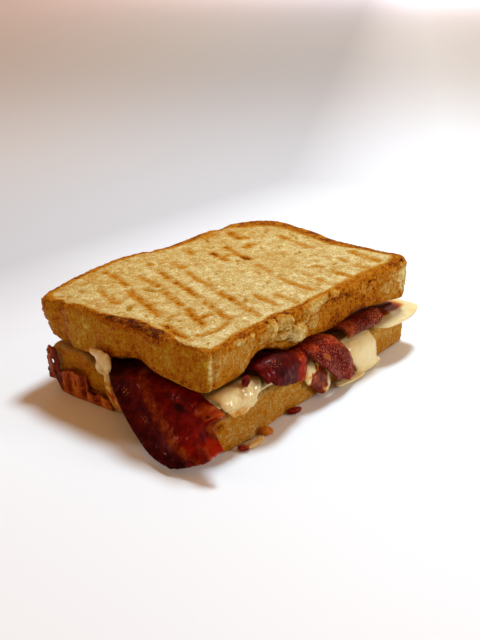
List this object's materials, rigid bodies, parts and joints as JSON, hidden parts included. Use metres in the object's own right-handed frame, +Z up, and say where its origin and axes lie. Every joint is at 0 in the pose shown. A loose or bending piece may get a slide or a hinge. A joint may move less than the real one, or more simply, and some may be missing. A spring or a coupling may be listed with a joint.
{
  "type": "grilled cheese sandwich",
  "caption": "Pressed and griddled sandwich of thick white bread, with melted cheese running down its sides and bacon rashers hanging out of the filling.",
  "frame": {"origin": "middle of the lower slice's flat underside, where the sandwich rests", "axes": "+X along the slices' long side, +Y across them towards the domed top of the loaf, +Z up out of the grilled upper face"},
  "size_m": [0.1641, 0.1161, 0.0432],
  "materials": {
    "crust": "dry golden-brown bread crust",
    "toast": "dry toasted crumb with grill marks",
    "cheese": "soft melted cheese, slightly glossy",
    "crisp": "crisp fried cheese",
    "bacon": "fried bacon, greasy sheen"
  },
  "bodies": {
    "root": {"bread_bottom": "crust", "bread_top": "toast", "cheese_melt": "cheese", "cheese_corner": "cheese", "cheese_skirt": "crisp", "bacon_front": "bacon", "bacon_fold": "bacon", "bacon_flap": "bacon", "bacon_roll": "bacon", "crisp_bead": "crisp", "cheese_flake": "cheese", "bacon_bit_near": "bacon", "bacon_bit_far": "bacon", "bacon_chip": "bacon"}
  },
  "joints": []
}
